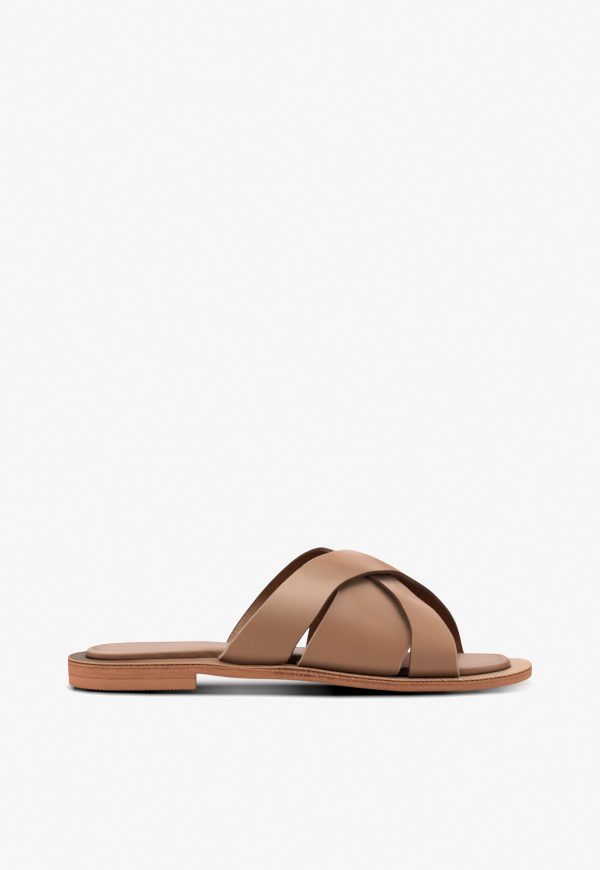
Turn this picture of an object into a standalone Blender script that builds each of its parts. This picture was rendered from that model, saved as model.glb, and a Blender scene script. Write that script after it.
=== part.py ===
"""Slide sandal for the right foot: leather sole, low heel, padded insole, upper of three crossed straps.

X runs from heel to toe, +Y is the inner side of the foot, and Z = 0 is the floor.
Sizes are millimetres. Meshes are scaled to metres when they are made.
"""

import bmesh
import bpy
import numpy as np

MM = 0.001
SHARP_DEGREES = 35

# Sole: driving sizes
LENGTH = 256.0
HEEL_ROUND = 30.0
HEEL_FULLNESS = 2.25
TOE_ROUND = 43.0
TOE_FULLNESS = 2.6
INNER_TOE_FULLNESS = 3.4
BREAST_X = -57.8
GAP = 0.3
STATIONS = 48

# Sole outline before its ends are rounded: x, outer side y, inner side y
OUTLINE = (
    (-128, -29.0, 29.0),
    (-95, -31.0, 30.5),
    (-57, -30.0, 28.5),
    (-25, -29.5, 26.0),
    (5, -33.0, 28.5),
    (32, -39.0, 37.0),
    (60, -42.0, 42.0),
    (85, -41.5, 41.5),
    (110, -36.0, 38.0),
    (128, -30.0, 35.0),
)

# Underside of the outsole, before it drops at the waist: x, height above the floor
UNDERSIDE = (
    (-128, 8.5),
    (-57, 8.5),
    (-30, 6.6),
    (0, 4.6),
    (20, 2.6),
    (40, 0.9),
    (56, 0.0),
    (82, 0.0),
    (104, 0.8),
    (118, 1.8),
    (128, 3.2),
)

# How much thicker the outsole is at the waist, in front of the heel: x, drop of its underside
WAIST_DROP = (
    (-128, 0.0),
    (-57, 0.0),
    (-48, 0.75),
    (-39, 1.1),
    (-28, 0.9),
    (-15, 0.4),
    (0, 0.05),
    (12, 0.0),
    (128, 0.0),
)

# Edge of each sole layer, from its lower to its upper face: inset from the outline, height
HEEL_TOP_PIECE_EDGE = ((1.3, 0.0), (0.8, 0.6), (0.35, 5.5), (0.6, 5.9))
HEEL_LIFT_EDGE = ((0.55, 6.2), (0.3, 6.5), (0.15, 7.9), (0.4, 8.2))
OUTSOLE_EDGE = ((1.6, 0.0), (0.5, 0.45), (0.1, 1.2), (0.0, 3.1), (0.25, 3.4))
MIDSOLE_EDGE = (
    (0.25, 0.0),
    (0.0, 0.25),
    (0.0, 1.2),
    (0.55, 1.45),
    (0.55, 1.8),
    (0.05, 2.0),
    (0.1, 2.25),
    (0.5, 2.58),
    (1.4, 2.7),
)
OUTSOLE_THICKNESS = OUTSOLE_EDGE[-1][1]
MIDSOLE_THICKNESS = MIDSOLE_EDGE[-1][1]
SOLE_THICKNESS = OUTSOLE_THICKNESS + GAP + MIDSOLE_THICKNESS

# Insole: x, margin to the sole's edge, thickness
INSOLE = (
    (-128, 10.0, 2.6),
    (-112, 9.5, 4.2),
    (-95, 9.2, 4.8),
    (-60, 11.5, 5.75),
    (-40, 13.0, 6.3),
    (0, 12.5, 6.4),
    (20, 11.0, 6.4),
    (45, 10.3, 5.8),
    (70, 10.5, 5.2),
    (105, 11.5, 4.4),
    (128, 12.0, 4.2),
)
# Edge of the pad: inset from its own outline, share of its thickness
INSOLE_EDGE = ((0.9, 0.0), (0.15, 0.2), (0.0, 0.45), (0.15, 0.75), (0.7, 0.93), (1.9, 0.99), (9.0, 1.0))

# Upper: inner surface of the straps
WALL = 2.4
WALL_INSET = 2.0
FOOT_BEND = 2.5
FOOT_FLANGE = 1.7
FOOT_STEPS = 4
ARCH_STEPS = 34
STRAP_COLUMNS = 10
LAYER = 2.1
RAKE_TURN = 0.03

# Section of the arch: fullness of its inner half, and how its height grows with the turn
INNER_FULLNESS = 2.3
ARCH_POWER = 2 / INNER_FULLNESS
# Arch of the upper over the instep: x, height of its crest, crest y, and the powers of the section's
# outer half: a higher shoulder keeps its wall upright for longer, a lower roof makes its top straighter
ARCH = (
    (-50, 84.6, 3.0, 3.6, 0.9),
    (-25, 79.0, 3.0, 3.7, 0.85),
    (0, 73.1, 3.0, 3.8, 1.0),
    (15, 69.0, 3.0, 3.7, 1.6),
    (25, 66.4, 3.0, 3.3, 2.0),
    (35, 63.5, 3.0, 2.9, 2.1),
    (45, 58.8, 3.0, 2.75, 2.1),
    (60, 49.9, 3.0, 2.7, 1.9),
    (75, 41.8, 3.0, 2.2, 1.85),
    (90, 34.3, 3.0, 1.85, 1.8),
    (105, 27.5, 3.0, 1.85, 1.8),
)

# Straps: x of each edge at equal turns from the outer foot over the crest to the inner foot, and the
# turns where the strap starts to lift over another, is clear of it, starts to come down and is down
TURNS = np.linspace(0, 1, 9)
STRAPS = {
    "middle": {
        "rear": (-1, 11.3, 19.5, 23.5, 24.5, 22.5, 17.5, 10, 4.5),
        "front": (51.8, 58.8, 57.5, 48, 42.5, 49, 58, 61, 57),
        "lifts": (),
    },
    "under_cross": {
        "rear": (56.9, 58.4, 51.2, 32.4, 17.2, 5.2, -7.7, -23.1, -40.3),
        "front": (83.3, 80.6, 73.2, 58.2, 38, 22, 9, -2, -9),
        "lifts": ((0.0, 0.08, 0.66, 0.98),),
    },
    "over_cross": {
        "rear": (-42.7, -22.7, -4.6, 12.7, 25.5, 38, 50, 59.5, 65),
        "front": (-7.5, 8, 20.4, 40, 55.4, 72.9, 85.1, 90.6, 93.8),
        "lifts": ((0.0, 0.2, 0.92, 1.0), (0.2, 0.36, 0.58, 0.78)),
    },
}


def through(rows, at, column):
    """Smooth curve, with no overshoot, through one column of a table whose first column is x."""
    x = np.array([row[0] for row in rows], float)
    y = np.array([row[column] for row in rows], float)
    step = np.diff(x)
    rise = np.diff(y) / step
    same_way = rise[1:] * rise[:-1] > 0
    mean = np.where(same_way, 2 * rise[1:] * rise[:-1] / np.where(same_way, rise[1:] + rise[:-1], 1), 0)
    slope = np.concatenate([rise[:1], mean, rise[-1:]])
    at = np.clip(at, x[0], x[-1])
    i = np.clip(np.searchsorted(x, at) - 1, 0, len(x) - 2)
    s = (at - x[i]) / step[i]
    bulge = (slope[i] - rise[i]) * (1 - s) - (slope[i + 1] - rise[i]) * s
    return y[i] + rise[i] * step[i] * s + bulge * step[i] * s * (1 - s)


def ramp(s):
    """Soft step from 0 to 1."""
    s = np.clip(s, 0, 1)
    return s * s * (3 - 2 * s)


def end_round(x, toe_fullness):
    """Share of the half width that the rounded heel and toe leave at x."""
    half = LENGTH / 2
    heel = np.clip((HEEL_ROUND - half - x) / HEEL_ROUND, 0, 1)
    toe = np.clip((x - half + TOE_ROUND) / TOE_ROUND, 0, 1)
    heel_share = (1 - heel**HEEL_FULLNESS) ** (1 / HEEL_FULLNESS)
    return heel_share * (1 - toe**toe_fullness) ** (1 / toe_fullness)


def sole_sides(x):
    """Outer and inner y of the sole's outline at x."""
    outer = through(OUTLINE, x, 1)
    inner = through(OUTLINE, x, 2)
    middle = (outer + inner) / 2
    half = (inner - outer) / 2
    return middle - half * end_round(x, TOE_FULLNESS), middle + half * end_round(x, INNER_TOE_FULLNESS)


def outline_ring():
    """Outline of the sole, up the outer side and back down the inner side, with its outward normals."""
    turn = np.pi * (np.arange(STATIONS) + 0.5) / STATIONS
    x = -np.cos(turn) * LENGTH / 2
    outer, inner = sole_sides(x)
    ring = np.concatenate([np.c_[x, outer], np.c_[x, inner][::-1]])
    along = np.roll(ring, -1, axis=0) - np.roll(ring, 1, axis=0)
    normal = np.c_[along[:, 1], -along[:, 0]]
    return ring, normal / np.linalg.norm(normal, axis=1)[:, None]


def underside(x):
    return through(UNDERSIDE, x, 1)


def midsole_seat(x):
    return underside(x) + OUTSOLE_THICKNESS + GAP


def sole_top(x):
    return underside(x) + SOLE_THICKNESS


def loft(rings):
    """Closed mesh through rings that run up one side and back down the other."""
    mesh = bmesh.new()
    loops = [[mesh.verts.new(point * MM) for point in ring] for ring in rings]
    count = len(loops[0])
    for low, high in zip(loops, loops[1:]):
        for i in range(count):
            j = (i + 1) % count
            mesh.faces.new((low[i], low[j], high[j], high[i]))
    for ring in (loops[0], loops[-1]):
        for i in range(count // 2 - 1):
            mesh.faces.new((ring[i], ring[i + 1], ring[-2 - i], ring[-1 - i]))
    bmesh.ops.recalc_face_normals(mesh, faces=mesh.faces)
    return mesh


def outsole_rings():
    """Rings of the outsole, drawn down where it is thicker at the waist."""
    ring, normal = outline_ring()
    rings = []
    for inset, height in OUTSOLE_EDGE:
        flat = ring - normal * inset
        x = flat[:, 0]
        drop = through(WAIST_DROP, x, 1) * (1 - height / OUTSOLE_THICKNESS)
        rings.append(np.c_[flat, underside(x) + height - drop])
    return rings


def midsole_rings():
    ring, normal = outline_ring()
    rings = []
    for inset, height in MIDSOLE_EDGE:
        flat = ring - normal * inset
        rings.append(np.c_[flat, midsole_seat(flat[:, 0]) + height])
    return rings


def heel_layer(edge):
    """Rings of a heel layer: the part of the outline behind the heel breast, cut straight."""
    ring, normal = outline_ring()
    behind = ring[:, 0] < BREAST_X
    start = int(np.argmin(behind))
    outer, inner = sole_sides(np.array([BREAST_X]))
    corner = np.array([[BREAST_X, inner[0]], [BREAST_X, outer[0]]])
    side = np.array([[0.0, 1.0], [0.0, -1.0]])
    back = np.roll(ring, start, axis=0)[: behind.sum()]
    back_normal = np.roll(normal, start, axis=0)[: behind.sum()]
    path = np.concatenate([corner[:1], back, corner[1:]])
    path_normal = np.concatenate([side[:1], back_normal, side[1:]])
    return [np.c_[path - path_normal * inset, np.full(len(path), height)] for inset, height in edge]


def insole_rings():
    ring, normal = outline_ring()
    margin = through(INSOLE, ring[:, 0], 1)[:, None]
    rings = []
    for inset, share in INSOLE_EDGE:
        flat = ring - normal * (margin + inset)
        x = flat[:, 0]
        rings.append(np.c_[flat, sole_top(x) + GAP + through(INSOLE, x, 2) * share])
    return rings


def strap_path():
    """Rows of a strap: its turn over the arch, and the bend and flange of its feet, outer foot first."""
    foot = [(1.0, FOOT_FLANGE)] + [(step / FOOT_STEPS, 0.0) for step in range(FOOT_STEPS, 0, -1)]
    outer = [(0.0, bend, flange) for bend, flange in foot]
    arch = [(step / ARCH_STEPS, 0.0, 0.0) for step in range(ARCH_STEPS + 1)]
    inner = [(1.0, bend, flange) for bend, flange in foot[::-1]]
    return outer + arch + inner


def arch_points(x, turn, bend, flange):
    """Points of the upper's inner surface at stations x, for one row of the strap path."""
    outer, inner = sole_sides(x)
    outer = outer + WALL_INSET + WALL
    inner = inner - WALL_INSET - WALL
    spring = sole_top(x) + GAP + WALL + FOOT_BEND
    crest_z = through(ARCH, x, 1)
    crest_y = through(ARCH, x, 2)
    side = np.sign(np.cos(np.pi * turn))
    shoulder = through(ARCH, x, 3) if side > 0 else INNER_FULLNESS
    roof = through(ARCH, x, 4) if side > 0 else INNER_FULLNESS
    reach = np.where(side > 0, crest_y - outer, inner - crest_y)
    height = np.sin(np.pi * turn) ** ARCH_POWER
    y = crest_y - side * np.clip(1 - height**shoulder, 0, 1) ** (1 / roof) * reach
    z = spring + (crest_z - spring) * height
    angle = np.pi / 2 * bend
    y = y + side * (FOOT_BEND * (1 - np.cos(angle)) + flange)
    z = z - FOOT_BEND * np.sin(angle)
    return np.c_[x, y, z]


def edge_x(edge, turn, bend):
    """x of a strap's edge. In the bend of a foot the edge keeps the slope that it comes down with."""
    x = through(edge, turn, 1)
    if bend == 0:
        return x
    above = turn + RAKE_TURN if turn < 0.5 else turn - RAKE_TURN
    higher = arch_points(through(edge, np.array([above]), 1), above, 0, 0)[0]
    lower = arch_points(np.array([x]), turn, 0, 0)[0]
    rake = (higher[0] - lower[0]) / (higher[2] - lower[2])
    return x - rake * (FOOT_BEND + WALL) * np.sin(np.pi / 2 * bend)


def strap_lift(strap, turn):
    """Height of a strap above the arch where it passes over the others."""
    total = 0.0
    for rise, full, fall, end in strap["lifts"]:
        total += LAYER * ramp((turn - rise) / (full - rise)) * ramp((end - turn) / (end - fall))
    return total


def strap_surface(strap):
    """Grid of points of a strap's inner face: rows along the strap, columns across it."""
    edges = [np.c_[TURNS, strap[name]] for name in ("rear", "front")]
    share = np.linspace(0, 1, STRAP_COLUMNS)
    rows = []
    lifts = []
    for turn, bend, flange in strap_path():
        rear, front = [edge_x(edge, turn, bend) for edge in edges]
        rows.append(arch_points(rear + (front - rear) * share, turn, bend, flange))
        lifts.append(strap_lift(strap, turn))
    grid = np.array(rows)
    along = np.gradient(grid, axis=0)
    across = np.gradient(grid, axis=1)
    normal = np.cross(across, along)
    normal /= np.linalg.norm(normal, axis=2)[:, :, None]
    return grid + normal * np.array(lifts)[:, None, None]


def strap_mesh(strap):
    """Open grid laid on the strap's inner face."""
    grid = strap_surface(strap)
    rows, columns = grid.shape[:2]
    mesh = bmesh.new()
    bmesh.ops.create_grid(mesh, x_segments=columns - 1, y_segments=rows - 1, size=1)
    for vertex in mesh.verts:
        column = round((vertex.co.x + 1) / 2 * (columns - 1))
        row = round((vertex.co.y + 1) / 2 * (rows - 1))
        vertex.co = grid[row, column] * MM
    return mesh


def principled(name, colour, roughness):
    material = bpy.data.materials.new(name)
    material.use_nodes = True
    shader = material.node_tree.nodes["Principled BSDF"]
    shader.inputs["Base Color"].default_value = (*colour, 1)
    shader.inputs["Roughness"].default_value = roughness
    shader.inputs["Metallic"].default_value = 0
    return material


def add_object(name, mesh, material, collection):
    """Object made from a bmesh, which is freed."""
    data = bpy.data.meshes.new(name)
    mesh.to_mesh(data)
    mesh.free()
    data.materials.append(material)
    data.shade_smooth()
    data.set_sharp_from_angle(angle=np.radians(SHARP_DEGREES))
    thing = bpy.data.objects.new(name, data)
    collection.objects.link(thing)
    return thing


def add_strap(name, strap, material, collection):
    thing = add_object(name, strap_mesh(strap), material, collection)
    wall = thing.modifiers.new("wall", "SOLIDIFY")
    wall.thickness = WALL * MM
    wall.offset = 1
    wall.use_even_offset = True
    return thing


def add_upper(material, parts, helpers):
    """Three straps, the middle one lowest, joined where they cross."""
    upper = add_strap("upper", STRAPS["middle"], material, parts)
    for name in ("under_cross", "over_cross"):
        strap = add_strap("strap_" + name, STRAPS[name], material, helpers)
        strap.hide_render = True
        strap.display_type = "WIRE"
        join = upper.modifiers.new("join_" + name, "BOOLEAN")
        join.operation = "UNION"
        join.solver = "EXACT"
        join.object = strap
    return upper


def add_collection(name):
    collection = bpy.data.collections.new(name)
    bpy.context.scene.collection.children.link(collection)
    return collection


def main():
    for thing in list(bpy.data.objects):
        bpy.data.objects.remove(thing)
    parts = add_collection("slide_sandal")
    helpers = add_collection("joining_straps")
    strap_leather = principled("strap_leather", (0.42, 0.22, 0.13), 0.45)
    insole_leather = principled("insole_leather", (0.48, 0.29, 0.19), 0.5)
    sole_leather = principled("sole_leather", (0.40, 0.17, 0.08), 0.5)
    tan_rubber = principled("tan_rubber", (0.38, 0.16, 0.08), 0.7)
    add_object("heel_top_piece", loft(heel_layer(HEEL_TOP_PIECE_EDGE)), tan_rubber, parts)
    add_object("heel_lift", loft(heel_layer(HEEL_LIFT_EDGE)), sole_leather, parts)
    add_object("outsole", loft(outsole_rings()), sole_leather, parts)
    add_object("midsole", loft(midsole_rings()), sole_leather, parts)
    add_object("insole", loft(insole_rings()), insole_leather, parts)
    add_upper(strap_leather, parts, helpers)


main()
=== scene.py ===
"""Looks of the slide sandal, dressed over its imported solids.

X runs from heel to toe, +Y is the inner side of the foot, and Z = 0 is the floor.
The sandal's sizes are millimetres and become metres in its meshes. The stage's sizes are metres.
"""

import bpy
import numpy as np
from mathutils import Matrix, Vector


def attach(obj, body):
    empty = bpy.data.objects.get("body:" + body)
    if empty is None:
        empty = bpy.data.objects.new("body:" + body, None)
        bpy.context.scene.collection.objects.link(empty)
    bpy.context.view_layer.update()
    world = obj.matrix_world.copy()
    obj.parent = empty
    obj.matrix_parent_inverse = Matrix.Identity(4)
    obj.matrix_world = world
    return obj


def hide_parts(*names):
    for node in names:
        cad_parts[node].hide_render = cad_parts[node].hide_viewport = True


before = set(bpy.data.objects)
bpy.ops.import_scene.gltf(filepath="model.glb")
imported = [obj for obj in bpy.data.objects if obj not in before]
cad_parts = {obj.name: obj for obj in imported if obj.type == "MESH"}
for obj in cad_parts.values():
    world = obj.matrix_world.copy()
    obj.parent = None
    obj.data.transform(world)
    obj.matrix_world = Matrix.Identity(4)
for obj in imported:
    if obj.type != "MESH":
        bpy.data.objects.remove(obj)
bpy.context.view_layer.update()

# In the values below, a rise is where a soft change starts and how long it is, towards lower values
# where the length is negative. A band is its lower end, its upper end and its softness. A pattern is the
# length of a wave and a seed. An uneven value is a mean, a swing, the length of a wave and a seed.
MM = 0.001
SEED = 7
WOBBLE_TERMS = 7
WOBBLE_PITCHES = (0.6, 1.8)

# Sole: the same driving sizes as the solids
LENGTH = 256.0
HEEL_ROUND = 30.0
HEEL_FULLNESS = 2.25
TOE_ROUND = 43.0
TOE_FULLNESS = 2.6
INNER_TOE_FULLNESS = 3.4
BREAST_X = -57.8
GAP = 0.3
OUTSOLE_THICKNESS = 3.4
MIDSOLE_THICKNESS = 2.7
SOLE_THICKNESS = OUTSOLE_THICKNESS + GAP + MIDSOLE_THICKNESS
LIFT_SEAM = 6.05

# Sole outline before its ends are rounded: x, outer side y, inner side y
OUTLINE = (
    (-128, -29.0, 29.0),
    (-95, -31.0, 30.5),
    (-57, -30.0, 28.5),
    (-25, -29.5, 26.0),
    (5, -33.0, 28.5),
    (32, -39.0, 37.0),
    (60, -42.0, 42.0),
    (85, -41.5, 41.5),
    (110, -36.0, 38.0),
    (128, -30.0, 35.0),
)
# Where the outer side of the sole passes softly into the inner side, by y
OUTER_RISE = (8, -16)
# Points along one side of an outline: of the finely marked layers, and of the plainer ones
FINE_STATIONS = 1400
STATIONS = 800

# Underside of the outsole: x, height above the floor
UNDERSIDE = (
    (-128, 8.5), (-57, 8.5), (-30, 6.6), (0, 4.6), (20, 2.6), (40, 0.9), (56, 0.0), (82, 0.0),
    (104, 0.8), (118, 1.8), (128, 3.2),
)
# How much thicker the outsole is at the waist, in front of the heel: x, drop of its underside
WAIST_DROP = (
    (-128, 0.0), (-57, 0.0), (-48, 0.75), (-39, 1.1), (-28, 0.9), (-15, 0.4), (0, 0.05), (12, 0.0),
    (128, 0.0),
)

# Edge of each sole layer, from its lower to its upper face: inset from the outline, height
TOP_PIECE_EDGE = (
    (1.2, 0.0), (0.85, 0.06), (0.7, 0.2), (0.62, 0.6), (0.48, 3.0), (0.3, 5.6), (0.27, 5.94),
    (0.33, 6.04),
)
LIFT_EDGE = ((0.33, 6.05), (0.25, 6.14), (0.2, 7.0), (0.14, 8.0), (0.13, 8.38), (0.2, 8.49))
OUTSOLE_EDGE = (
    (1.4, 0.0), (0.75, 0.03), (0.42, 0.12), (0.22, 0.28), (0.1, 0.55), (0.04, 1.0), (0.01, 1.7),
    (0.0, 2.3), (0.0, 2.8), (0.02, 3.25), (0.1, 3.4),
)
MIDSOLE_EDGE = (
    (0.18, -0.3), (0.04, -0.12), (0.0, 0.08), (0.0, 0.3), (0.0, 0.6), (0.0, 0.92), (0.04, 1.1),
    (0.2, 1.24), (0.46, 1.34), (0.58, 1.48), (0.56, 1.64), (0.36, 1.78), (0.12, 1.88),
    (0.02, 2.04), (0.05, 2.24), (0.2, 2.44), (0.48, 2.58), (0.9, 2.66), (1.6, 2.7), (3.2, 2.7),
    (6.6, 2.7), (7.6, 2.7), (8.6, 2.7), (9.6, 2.7), (10.8, 2.7), (12.0, 2.7),
)

# Streaks of the cut edges: length, fineness across, and shifts so that no two layers match
STREAK_LENGTH = 9.0
STREAK_FINENESS = 1.7
OUTSOLE_STREAK = 9
HEEL_STREAK = 20

# Wheel marks on the midsole, with their uneven wear and spacing, and how strong they are at each x
KNURL_PITCH = 2.3
KNURL_SLANT = 0.5
KNURL_DEPTH = 0.3
KNURL_SHARPNESS = 0.8
KNURL_IN_GROOVE = 0.5
KNURL_UNEVEN = (0.8, 0.4, 9.0, SEED)
KNURL_DRIFT = (0.0, 0.5, 7.0, SEED + 8)
KNURL_WEAR = (
    (-128, 0.15), (-60, 0.1), (-20, 0.1), (0, 0.35), (40, 0.5), (75, 0.9), (90, 1.0), (128, 1.0),
)

# Groove round the midsole: by height, its wander up and down, its broken tone, how far the wheel marks
# lighten it, and how dark it is at each x
GROOVE_BAND = (1.12, 1.92, 0.2)
GROOVE_WANDER = (0.0, 0.06, 14.0, SEED + 1)
GROOVE_UNEVEN = (0.85, 0.3, 2.6, SEED + 10)
GROOVE_MARKS = 0.6
GROOVE_SHOWN = ((-128, 0.9), (-62, 0.9), (-50, 0.6), (-20, 0.5), (-8, 0.75), (30, 0.8), (128, 0.9))

# Rim of the midsole: by height, its greatest inset, a painted highlight along it, and how light and dark
# its wheel marks are
RIM_BAND = (1.86, 2.62, 0.25)
RIM_INSET = 1
RIM_HIGHLIGHT = 0.2
RIM_MARKS = 0.8
RIM_SHADE = 0.35
# Rise and fall of the rim on the outer side: by height, the insets that it fades between, and at each x
WAVE_RISE = (0.9, 0.9)
WAVE_INSETS = (2, 8)
RIM_WAVE = (
    (-128, 0.0), (-66, 0.0), (-55, -0.1), (-46, -0.4), (-38, -0.8), (-33, -0.85), (-28, -0.65),
    (-22, -0.2), (-17, 0.1), (-11, 0.8), (-5, 0.9), (2, 0.85), (10, 0.6), (25, 0.2), (45, 0.0),
    (128, 0.0),
)

# Light specks below the groove: by height, and by the level of their pattern
SPECK_BAND = (0.7, 1.1, 0.3)
SPECK_PATTERN = (1.8, SEED + 9)
SPECK_RISE = (0.3, 0.3)
SPECK_LIGHT = 0.8

# Stitch holes along the seam under the midsole: sizes, by height on both layers, and how plain at each x
DASH_SEED = SEED + 2
DASH_HALF_LENGTHS = (0.45, 0.9)
DASH_TONES = (0.5, 1)
DASH_STEPS = (1.6, 2.2)
DASH_END = 0.2
DASH_SOFT = 0.3
DASH_DEPTH = 0.25
DASH_MIDSOLE_RISE = (0.5, -0.8)
DASH_OUTSOLE_RISE = (2.4, 0.6)
DASH_WEAR = (
    (-128, 0.3), (-110, 0.45), (-70, 0.45), (-40, 0.2), (-18, 0.3), (-10, 1.0), (2, 1.0),
    (12, 0.6), (60, 0.5), (80, 0.25), (128, 0.15),
)

# Margin round the pad: lowest height, by inset, and how light, or dark where negative, it is at each x
MARGIN_HEIGHT = 2
MARGIN_RISE = (0.4, 0.6)
MARGIN_TONE = (
    (-128, -0.65), (-95, -0.5), (-75, -0.1), (-60, 0.0), (-20, 0.1), (60, 0.4), (90, 0.4),
    (128, 0.6),
)
# Painted shade of the pad on the margin: strength, and where it starts before the pad's edge
PAD_SHADE = 0.8
PAD_SHADE_RISE = (-1.4, 1.4)
# Strokes of the wheel on the margin round the toe: lowest height, by x, by inset, and strengths
WELT_HEIGHT = 2.5
WELT_RISE = (74, 14)
WELT_INSET_RISE = (4.4, -2.4)
WELT_LIGHT = 0.9
WELT_SHADE = 0.45
# How far the outer margin rises towards the pad: by inset, and at each x
BANK_RISE = (1.5, 8)
BANK = (
    (-128, 0.0), (-105, 0.4), (-83, 0.8), (-61, 0.8), (-47, 1.2), (-30, 1.2), (-12, 0.6), (5, 0.0),
    (128, 0.0),
)

# Outsole: where it lies on the heel, with a square edge there, a painted highlight on its bevel, and its
# plain underside
OVER_HEEL_RISE = (BREAST_X - 1, -2)
SQUARE_INSET = 0.1
BEVEL_BAND = (0.02, 0.3, 0.2)
BEVEL_UNEVEN = (0.8, 0.2, 7.0, SEED + 3)
BEVEL_HIGHLIGHT = 0.9
UNDERSIDE_INSET = 1.2
UNDERSIDE_TONE = 0.6

# Heel: rounded corners of its straight front, the painted shade there, the seam between its layers with a
# few dark holes, and the fine tread on its lower edge with a painted highlight along it
BREAST_ROUND = 0.5
BREAST_STEPS = 5
BREAST_SHADE = 0.6
BREAST_RISE = (BREAST_X - 1.0, 0.6)
HEEL_SEAM_WIDTH = 0.12
HEEL_SEAM_SHADE = 0.25
HEEL_DASH_PATTERN = (2.6, SEED + 4)
HEEL_DASH_LEVEL = 0.9
HEEL_DASH_BAND = (-96, -84, 4.0)
TREAD_PITCH = 2.0
TREAD_DEPTH = 0.35
TREAD_HEIGHT = 0.5
TREAD_RISE = (-0.45, 0.5)
TREAD_BAND = (0.1, 0.5, 0.2)
TREAD_HIGHLIGHT = 0.35

# Insole: x, margin to the sole's edge, thickness
INSOLE = (
    (-128, 10.0, 2.6),
    (-112, 9.5, 4.2),
    (-95, 9.2, 4.8),
    (-60, 11.5, 5.75),
    (-40, 13.0, 6.3),
    (0, 12.5, 6.4),
    (20, 11.0, 6.4),
    (45, 10.3, 5.8),
    (70, 10.5, 5.2),
    (105, 11.5, 4.4),
    (128, 12.0, 4.2),
)
# Edge of the pad: inset from its own outline, share of its thickness
INSOLE_EDGE = (
    (1.0, -0.06), (0.5, 0.02), (0.2, 0.1), (0.04, 0.2), (0.0, 0.3), (0.02, 0.42), (0.1, 0.54),
    (0.3, 0.66), (0.65, 0.78), (1.15, 0.88), (1.8, 0.955), (2.6, 0.995), (3.3, 1.0), (4.2, 0.985),
    (5.4, 0.968), (7.0, 0.972), (9.0, 0.98),
)
# Top of the pad inside that edge: how far each ring is drawn to the middle, height share and dish
PAD_TOP_RINGS = (0.25, 0.5, 0.75, 0.93)
PAD_TOP = 0.98
PAD_DISH = 0.02
# Wrinkles of the pad's outer side: by x, slant, shares and patterns, the uneven patches that they come
# in, the level that they dip below, by share of the height, and depth
WRINKLE_BAND = (-100, -46, 24.0)
WRINKLE_SLANT = 7.0
WRINKLE_PATTERNS = ((1.0, 3.4, SEED + 5), (0.6, 1.7, SEED + 6))
WRINKLE_PATCHES = (0.25, 0.75, 16.0, SEED + 7)
WRINKLE_LEVEL = 0.8
WRINKLE_HEIGHT_BAND = (0.05, 0.7, 0.4)
WRINKLE_DEPTH = 0.4
# Tones of the pad, all painted light and shade: the part behind the straps by x, painted shade on the side
# under the straps, on the side and deeper in its creases, along the pressed line by inset and at the foot
# of the side, and a painted highlight on the bead. Shades and lights are a base, what is more behind the
# straps, and what is more in a wrinkle
BEHIND_RISE = (-35, -25)
COVERED_SHADE = 0.96
COVERED_HEIGHT_BAND = (-0.1, 0.9, 0.2)
COVERED_BAND = (-22, 68, 8.0)
CREASE_HEIGHT_BAND = (-0.1, 0.7, 0.4)
CREASE_SHADES = (0.15, 0.08, 0.55)
PRESSED_BAND = (3.6, 5.6, 0.8)
PRESSED_SHADES = (0.4, 0.2)
FOOT_LINE_SHADE = 0.85
FOOT_LINE_HEIGHT = 0.2
BEAD_BAND = (0.74, 0.99, 0.16)
BEAD_INSET = 3
BEAD_HIGHLIGHTS = (0.3, 0.5)

# Upper: wall and feet of the straps, and how finely they are divided
WALL = 2.4
WALL_INSET = 2.0
FOOT_BEND = 2.5
FOOT_FLANGE = 2.6
FOOT_STEPS = 10
FLANGE_STEPS = 3
ARCH_STEPS = 190
COARSE_COLUMNS = 25
FACE_COLUMNS = 60
INNER_FULLNESS = 2.3
ARCH_POWER = 2 / INNER_FULLNESS
# How far up a strap's foot curls, how fast its lean grows across it, and the turn that slopes are read over
CURL_TURN = 0.04
LEAN_POWER = 4
SLOPE_TURN = 0.03
# Painted shade just above the outer feet, and how far beyond the crest a strap's edge casts painted shade
# on another one
FOOT_SHADE = 0.75
FOOT_SHADE_HEIGHT = 7.0
SHADE_END_TURN = 0.6
SHADE_POINTS = 160
# Painted rims of a strap, where light a painted edge highlight that is partly the real burnished edge: by
# distance from its edge, by share of the thickness where light, and by turn; then its dark cut edges
# beyond the crest
STRAP_RIM_RISE = (1.17, -0.9)
STRAP_RIM_HEIGHT_RISE = (0.4, 0.4)
STRAP_RIM_END_RISE = (0.54, -0.08)
DARK_EDGE_RISE = (0.93, -0.62)
DARK_EDGE_START_RISE = (0.5, 0.08)

# Arch of the upper over the instep: y of its crest, then x, height of the crest, and the powers of the
# section's outer half: a higher shoulder keeps its wall upright for longer, a lower roof makes its top
# straighter
CREST_Y = 3.0
ARCH = (
    (-50, 84.6, 3.6, 0.9),
    (-25, 79.0, 3.7, 0.85),
    (0, 73.1, 3.8, 1.0),
    (15, 69.0, 3.7, 1.6),
    (25, 66.4, 3.3, 2.0),
    (35, 63.5, 2.9, 2.1),
    (45, 58.8, 2.75, 2.1),
    (60, 49.9, 2.7, 1.9),
    (75, 41.8, 2.2, 1.85),
    (90, 34.3, 1.85, 1.8),
    (105, 27.5, 1.85, 1.8),
)
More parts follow.
